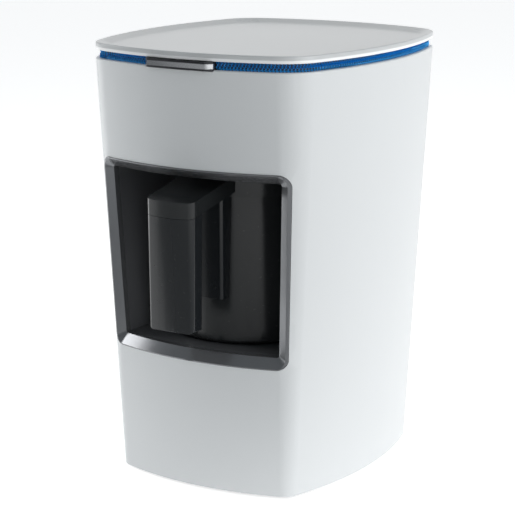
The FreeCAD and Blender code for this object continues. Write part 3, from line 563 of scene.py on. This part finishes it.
def outlinePoints(inset):
    # the plan's four shallow sides and four round corners, moved in by the inset
    frontY = outline["frontRadius"] - outline["halfDepth"]
    sideX = outline["halfWidth"] - outline["sideRadius"]
    reachFront = outline["frontRadius"] - outline["cornerRadius"]
    reachSide = outline["sideRadius"] - outline["cornerRadius"]
    span = math.hypot(sideX, frontY)
    along = (reachFront**2 - reachSide**2 + span**2) / (2 * span)
    offset = math.sqrt(reachFront**2 - along**2)
    choices = [
        (
            (along * sideX + sign * offset * frontY) / span,
            frontY - (along * frontY - sign * offset * sideX) / span,
        )
        for sign in (1, -1)
    ]
    cornerX, cornerY = next(pair for pair in choices if pair[0] > 0 and pair[1] < 0)
    toFront = math.atan2(cornerY - frontY, cornerX)
    toSide = math.atan2(cornerY, cornerX - sideX)
    arcs = [
        (0, frontY, outline["frontRadius"], -math.pi - toFront, toFront),
        (cornerX, cornerY, outline["cornerRadius"], toFront, toSide),
        (sideX, 0, outline["sideRadius"], toSide, -toSide),
        (cornerX, -cornerY, outline["cornerRadius"], -toSide, -toFront),
        (0, -frontY, outline["frontRadius"], -toFront, math.pi + toFront),
        (-cornerX, -cornerY, outline["cornerRadius"], math.pi + toFront, math.pi + toSide),
        (-sideX, 0, outline["sideRadius"], math.pi + toSide, math.pi - toSide),
        (-cornerX, cornerY, outline["cornerRadius"], math.pi - toSide, math.pi - toFront),
    ]
    points = []
    for x, y, radius, start, end in arcs:
        for step in range(outline["arcPoints"]):
            angle = start + (end - start) * step / outline["arcPoints"]
            reach = radius - inset
            points.append((x + reach * math.cos(angle), y + reach * math.sin(angle) + outline["shiftY"]))
    return points


class Pattern(Bench):
    # a geometry node tree with named inputs, made into a plain mesh on one body
    kinds = {float: "NodeSocketFloat", int: "NodeSocketInt"}

    def __init__(self, name, values):
        super().__init__(bpy.data.node_groups.new(name, "GeometryNodeTree"))
        self.values = {}
        self.tree.interface.new_socket("Geometry", in_out="INPUT", socket_type="NodeSocketGeometry")
        for label, value in values.items():
            entry = self.tree.interface.new_socket(label, in_out="INPUT", socket_type=self.kinds[type(value)])
            self.values[entry.identifier] = value
        self.tree.interface.new_socket("Geometry", in_out="OUTPUT", socket_type="NodeSocketGeometry")
        self.entry = self.tree.nodes.new("NodeGroupInput")
        self.exit = self.tree.nodes.new("NodeGroupOutput")

    def given(self, label):
        return Wire(self.tree, self.entry.outputs[label])

    def outcome(self, geometry, material):
        real = self.add("GeometryNodeRealizeInstances", geometry=geometry)
        painted = self.add("GeometryNodeSetMaterial", geometry=real.outputs[0], material=material)
        self.tree.links.new(painted.outputs[0], self.exit.inputs[0])

    def meshOn(self, start, name):
        carrier = bpy.data.objects.new(name + "Carrier", start)
        bpy.context.scene.collection.objects.link(carrier)
        modifier = carrier.modifiers.new(name, "NODES")
        modifier.node_group = self.tree
        for identifier, value in self.values.items():
            modifier[identifier] = value
        settled = carrier.evaluated_get(bpy.context.evaluated_depsgraph_get())
        mesh = bpy.data.meshes.new_from_object(settled)
        mesh.name = name
        carrier.modifiers.remove(modifier)
        bpy.data.objects.remove(carrier)
        return mesh


def loopMesh(name, points, height):
    mesh = bpy.data.meshes.new(name)
    count = len(points)
    mesh.from_pydata([(x, y, height) for x, y in points], [(i, (i + 1) % count) for i in range(count)], [])
    return mesh


band = {
    "inset": 0.0031,
    "thickness": 0.0004,
    "centreHeight": 0.27095,
    "pitch": 0.0022,
    "rowStep": 0.0013,
    "holeRadius": 0.00052,
    "holeSides": 10,
    "rows": 4,
    "frontGap": 0.0247,
    "rearGap": 0.0311,
    "backingDepth": 0.0012,
    "backingLow": 0.2665,
    "backingHigh": 0.2737,
}
bandPath = outlinePoints(band["inset"] + band["thickness"])
pathLength = sum(math.dist(a, b) for a, b in zip(bandPath, bandPath[1:] + bandPath[:1]))
columns = round(pathLength / band["pitch"])
realPitch = pathLength / columns

bandTree = Pattern(
    "perforatedBand",
    {
        "columns": columns,
        "rows": band["rows"],
        "pitch": realPitch,
        "rowStep": band["rowStep"],
        "holeRadius": band["holeRadius"],
        "thickness": band["thickness"],
        "frontGap": band["frontGap"],
        "rearGap": band["rearGap"],
    },
)
pitch = bandTree.given("pitch")
rowStep = bandTree.given("rowStep")
columnCount = bandTree.given("columns")
rowCount = bandTree.given("rows")

# one six-sided tile with its hole
# a hexagon of radius 1 is sqrt(3) across its flats, and its rows lie 1.5 apart
hexagon = bandTree.add("GeometryNodeCurvePrimitiveCircle", resolution=6, radius=1.0)
turned = bandTree.add("GeometryNodeTransform", geometry=hexagon.outputs[0], rotation=(0, 0, math.radians(30)))
stretch = bandTree.add("ShaderNodeCombineXYZ", x=pitch / math.sqrt(3), y=rowStep / 1.5, z=1.0)
fitted = bandTree.add("GeometryNodeTransform", geometry=turned.outputs[0], scale=stretch.outputs[0])
hole = bandTree.add(
    "GeometryNodeCurvePrimitiveCircle", resolution=band["holeSides"], radius=bandTree.given("holeRadius")
)
bothRings = bandTree.add("GeometryNodeJoinGeometry")
for ring in (fitted, hole):
    bandTree.tree.links.new(ring.outputs[0], bothRings.inputs[0])
filled = bandTree.add("GeometryNodeFillCurve", curve=bothRings.outputs[0])
upright = bandTree.add("GeometryNodeTransform", geometry=filled.outputs[0], rotation=(math.radians(90), 0, 0))
tile = bandTree.add(
    "GeometryNodeExtrudeMesh",
    mesh=upright.outputs[0],
    offsetScale=bandTree.given("thickness"),
    individual=False,
)

# its places along the path, every other row moved by half a pitch
path = bandTree.add("GeometryNodeMeshToCurve", mesh=bandTree.entry.outputs[0])
index = bandTree.wire(bandTree.add("GeometryNodeInputIndex"))
row = (index / columnCount).floor()
column = index - row * columnCount
points = bandTree.add("GeometryNodePoints", count=columnCount * rowCount)
sampled = bandTree.add(
    "GeometryNodeSampleCurve",
    {"mode": "FACTOR"},
    curves=path.outputs[0],
    factor=(column + row.remainder(2.0) * 0.5) / columnCount,
)
rise = bandTree.add("ShaderNodeCombineXYZ", z=(row - (rowCount - 1) * 0.5) * rowStep)
spread = bandTree.add(
    "GeometryNodeSetPosition",
    geometry=points.outputs[0],
    position=sampled.outputs["Position"],
    offset=rise.outputs[0],
)

# none behind the button and none at the hinge
here = bandTree.add("ShaderNodeSeparateXYZ", vector=bandTree.add("GeometryNodeInputPosition").outputs[0])
fromMiddle = bandTree.wire(here, "X").size()
front = bandTree.wire(here, "Y").below(0.0)
atButton = front * fromMiddle.below(bandTree.given("frontGap"))
atHinge = (1 - front) * fromMiddle.below(bandTree.given("rearGap"))
kept = bandTree.add(
    "GeometryNodeDeleteGeometry",
    {"domain": "POINT"},
    geometry=spread.outputs[0],
    selection=atButton.most(atHinge),
)
facing = bandTree.add(
    "FunctionNodeAxesToRotation",
    {"primary_axis": "X", "secondary_axis": "Z"},
    primaryAxis=sampled.outputs["Tangent"],
    secondaryAxis=(0, 0, 1),
)
tiles = bandTree.add(
    "GeometryNodeInstanceOnPoints",
    points=kept.outputs[0],
    instance=tile.outputs[0],
    rotation=facing.outputs[0],
)
bandTree.outcome(tiles.outputs[0], finishes["band_blue"])
bandMesh = bandTree.meshOn(loopMesh("bandPath", bandPath, band["centreHeight"]), "perforatedBand")
placed("perforatedBand", bandMesh, "housing", "band_blue", "vent_band")

# a dark strip behind the holes, a painted shade: a sheet that stands in for the shade seen through them
shadeSheet = bpy.data.meshes.new("bandShadeSheet")
shadeSheetPath = outlinePoints(band["inset"] + band["backingDepth"])
corners = [(x, y, z) for z in (band["backingLow"], band["backingHigh"]) for x, y in shadeSheetPath]
count = len(shadeSheetPath)
sides = []
for i in range(count):
    x, y = shadeSheetPath[i]
    gap = band["frontGap"] if y < 0 else band["rearGap"]
    follow = (i + 1) % count
    if abs(x) > gap or abs(shadeSheetPath[follow][0]) > gap:
        sides.append((i, follow, follow + count, i + count))
shadeSheet.from_pydata(corners, [], sides)
shadeSheet.shade_smooth()
placed("bandShadeSheet", shadeSheet, "housing", "base_dark")
print("band made with", len(bandMesh.polygons), "faces")


# Camera, lights, floor and backdrop

view = {
    "place": (0.63025, -1.02407, 0.41103),
    "forward": (-0.51323, 0.82836, -0.22453),
    "lens": 131.94,
    "sensor": 36,
    "near": 0.05,
    "far": 60,
}
cameraData = bpy.data.cameras.new("camera")
cameraData.lens = view["lens"]
cameraData.sensor_width = view["sensor"]
cameraData.clip_start = view["near"]
cameraData.clip_end = view["far"]
camera = bpy.data.objects.new("camera", cameraData)
bpy.context.scene.collection.objects.link(camera)
camera.location = view["place"]
camera.rotation_mode = "QUATERNION"
camera.rotation_quaternion = Vector(view["forward"]).to_track_quat("-Z", "Y")
bpy.context.scene.camera = camera


def softBox(name, place, target, size, power):
    light = bpy.data.lights.new(name, "AREA")
    light.shape = "RECTANGLE"
    light.size, light.size_y = size
    light.energy = power
    holder = bpy.data.objects.new(name, light)
    bpy.context.scene.collection.objects.link(holder)
    holder.location = place
    holder.rotation_mode = "QUATERNION"
    holder.rotation_quaternion = (Vector(target) - Vector(place)).to_track_quat("-Z", "Y")


softBoxes = {
    "keyRight": {"place": (1.5, -0.15, 0.62), "target": (0, 0, 0.16), "size": (1.4, 1.6), "power": 16},
    "topSoft": {"place": (0.1, 0.5, 1.6), "target": (0, 0, 0.2), "size": (1.2, 1.2), "power": 5},
    "lowLeft": {"place": (-0.70, -0.06, 0.14), "target": (0, -0.1, 0.17), "size": (0.5, 0.26), "power": 0.4},
    "highLeft": {"place": (-1, -0.26, 0.61), "target": (-0.06, -0.09, 0.09), "size": (0.28, 0.5), "power": 2.5},
}
for name, settings in softBoxes.items():
    softBox(name, **settings)

# the room is dim on the camera's side and bright on the far side
backdrop = {"dim": (0.195, 0.214, 0.227), "bright": (1.1, 1.1, 1.1), "turnStart": 0.55, "turnEnd": 0.93}
ahead = Vector(view["forward"])
world = bpy.data.worlds.new("studio")
bpy.context.scene.world = world
world.use_nodes = True
room = Bench(world.node_tree)
facingAway = room.add("ShaderNodeVectorMath", {"operation": "DOT_PRODUCT"})
room.feed(facingAway.inputs[0], room.add("ShaderNodeTexCoord").outputs["Generated"])
room.feed(facingAway.inputs[1], ahead.normalized())
turn = room.ramp(facingAway.outputs["Value"], backdrop["turnStart"], backdrop["turnEnd"])
background = world.node_tree.nodes["Background"]
room.feed(background.inputs["Color"], room.blend(turn, backdrop["dim"], backdrop["bright"]))
room.feed(background.inputs["Strength"], 1.0)

# a pale paper floor that glows, apart from a soft grey zone before the front
ground = {
    "reach": 12.0,
    "greyStart": 0.13,
    "greyFull": 0.30,
    "greyEnds": 0.55,
    "paleAgain": 1.3,
    "grey": (0.62, 0.62, 0.62),
    "white": (0.80, 0.80, 0.80),
    "fibre": (0.83, 0.83, 0.83),
    "fibreScale": 60,
    "rough": 0.75,
    "fibreShare": 0.1,
    "glow": 0.71,
}
paper = Finish("floorPaper")
fibres = paper.noise(ground["fibreScale"], detail=4)
aheadX, aheadY = ahead.xy.normalized()
away = paper.axis("X") * aheadX + paper.axis("Y") * aheadY
lit = paper.ramp(away, -ground["greyFull"], -ground["greyStart"])
lit = lit.most(paper.ramp(away * -1, ground["greyEnds"], ground["paleAgain"]))
floorPaper = paper.finish(
    baseColor=paper.blend(lit, ground["grey"], paper.blend(fibres, ground["white"], ground["fibre"])),
    roughness=ground["rough"] + fibres * ground["fibreShare"],
    emissionColor=paper.blend(lit, (0, 0, 0), (1, 1, 1)),
    emissionStrength=ground["glow"],
)
floorPaper.cycles.emission_sampling = "NONE"
edge = ground["reach"]
floorCorners = [(-edge, -edge, 0), (edge, -edge, 0), (edge, edge, 0), (-edge, edge, 0)]
floorMesh = bpy.data.meshes.new("floor")
floorMesh.from_pydata(floorCorners, [], [(0, 1, 2, 3)])
floorMesh.materials.append(floorPaper)
floor = bpy.data.objects.new("floor", floorMesh)
bpy.context.scene.collection.objects.link(floor)
bpy.context.scene.view_settings.view_transform = "Standard"
print("camera, lights and floor placed")
